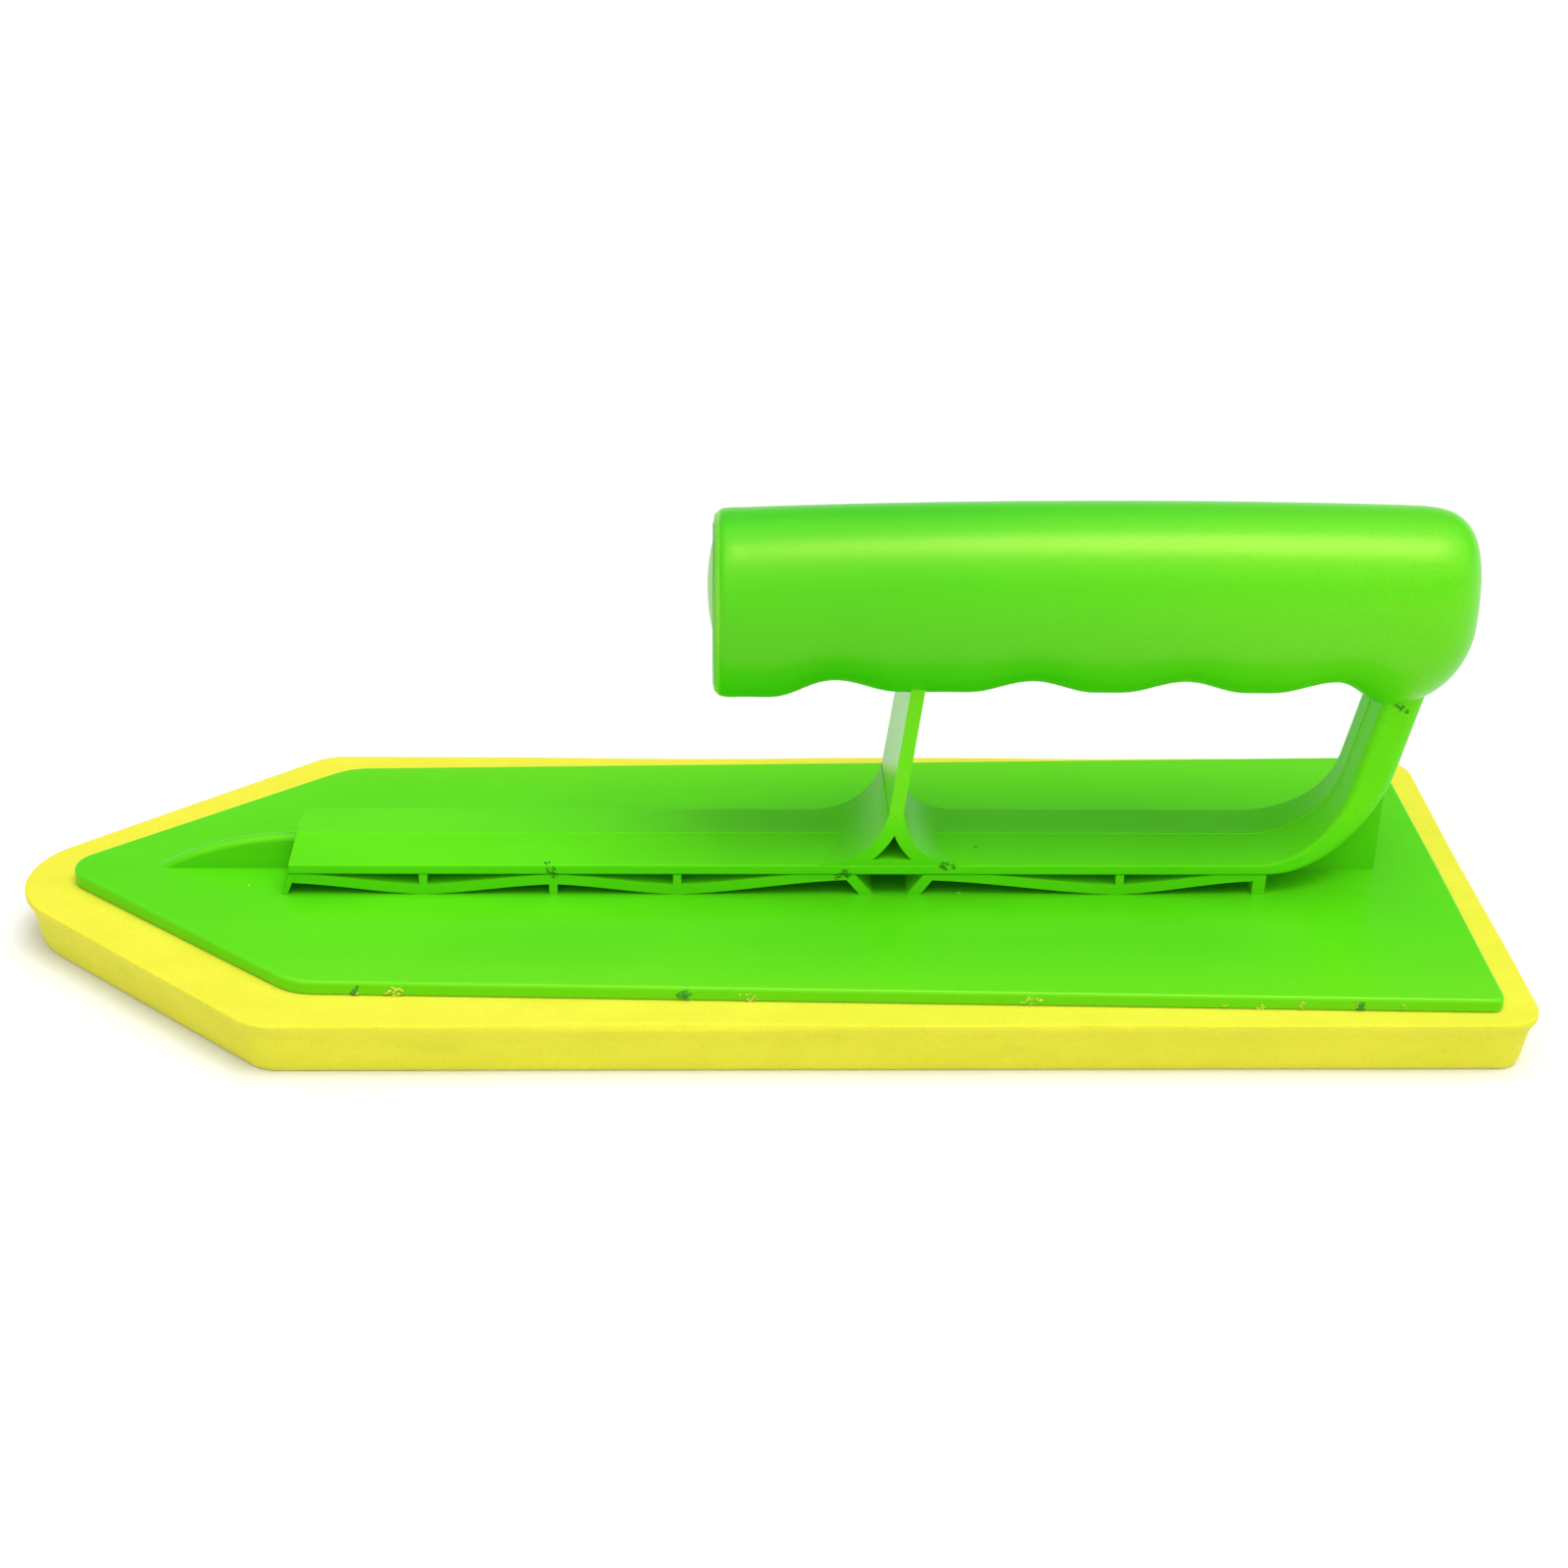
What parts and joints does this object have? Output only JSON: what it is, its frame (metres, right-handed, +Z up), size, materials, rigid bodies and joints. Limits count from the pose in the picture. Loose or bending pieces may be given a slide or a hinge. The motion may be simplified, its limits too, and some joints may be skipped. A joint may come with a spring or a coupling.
{
  "type": "grout float",
  "caption": "Pointed-nose grout float: a soft foam pad glued under a ribbed plastic plate, with a bow handle that has finger grooves.",
  "frame": {"origin": "under the middle of the foam pad, on its working face, which is also the bottom centre of the float's box", "axes": "+Z up out of the pad towards the handle, +X towards the rear of the handle, the pointed nose towards -X, +Y the user's right"},
  "size_m": [0.254, 0.094, 0.0801],
  "materials": {
    "green_plastic": "glossy injection-moulded polypropylene",
    "yellow_foam": "matte die-cut closed-cell EVA foam",
    "clear_glue": "dried contact adhesive, slightly shiny"
  },
  "bodies": {
    "root": {"base_plate": "green_plastic", "brace_front_left": "green_plastic", "brace_front_right": "green_plastic", "brace_rear_left": "green_plastic", "brace_rear_right": "green_plastic", "centre_web": "green_plastic", "end_plug": "green_plastic", "end_strut_left": "green_plastic", "end_strut_right": "green_plastic", "foam_pad": "yellow_foam", "front_fin": "green_plastic", "front_post": "green_plastic", "front_wall": "green_plastic", "glue_beads": "clear_glue", "glue_film": "clear_glue", "handle_grip": "green_plastic", "lower_strut_left": "green_plastic", "lower_strut_right": "green_plastic", "post_foot_front": "green_plastic", "post_foot_rear": "green_plastic", "post_foot_web": "green_plastic", "rear_gusset": "green_plastic", "rear_post": "green_plastic", "top_rail": "green_plastic", "upper_strut_1_left": "green_plastic", "upper_strut_1_right": "green_plastic", "upper_strut_2_left": "green_plastic", "upper_strut_2_right": "green_plastic", "upper_strut_3_left": "green_plastic", "upper_strut_3_right": "green_plastic", "wave_strip_front_left": "green_plastic", "wave_strip_front_right": "green_plastic", "wave_strip_rear_left": "green_plastic", "wave_strip_rear_right": "green_plastic"}
  },
  "joints": []
}
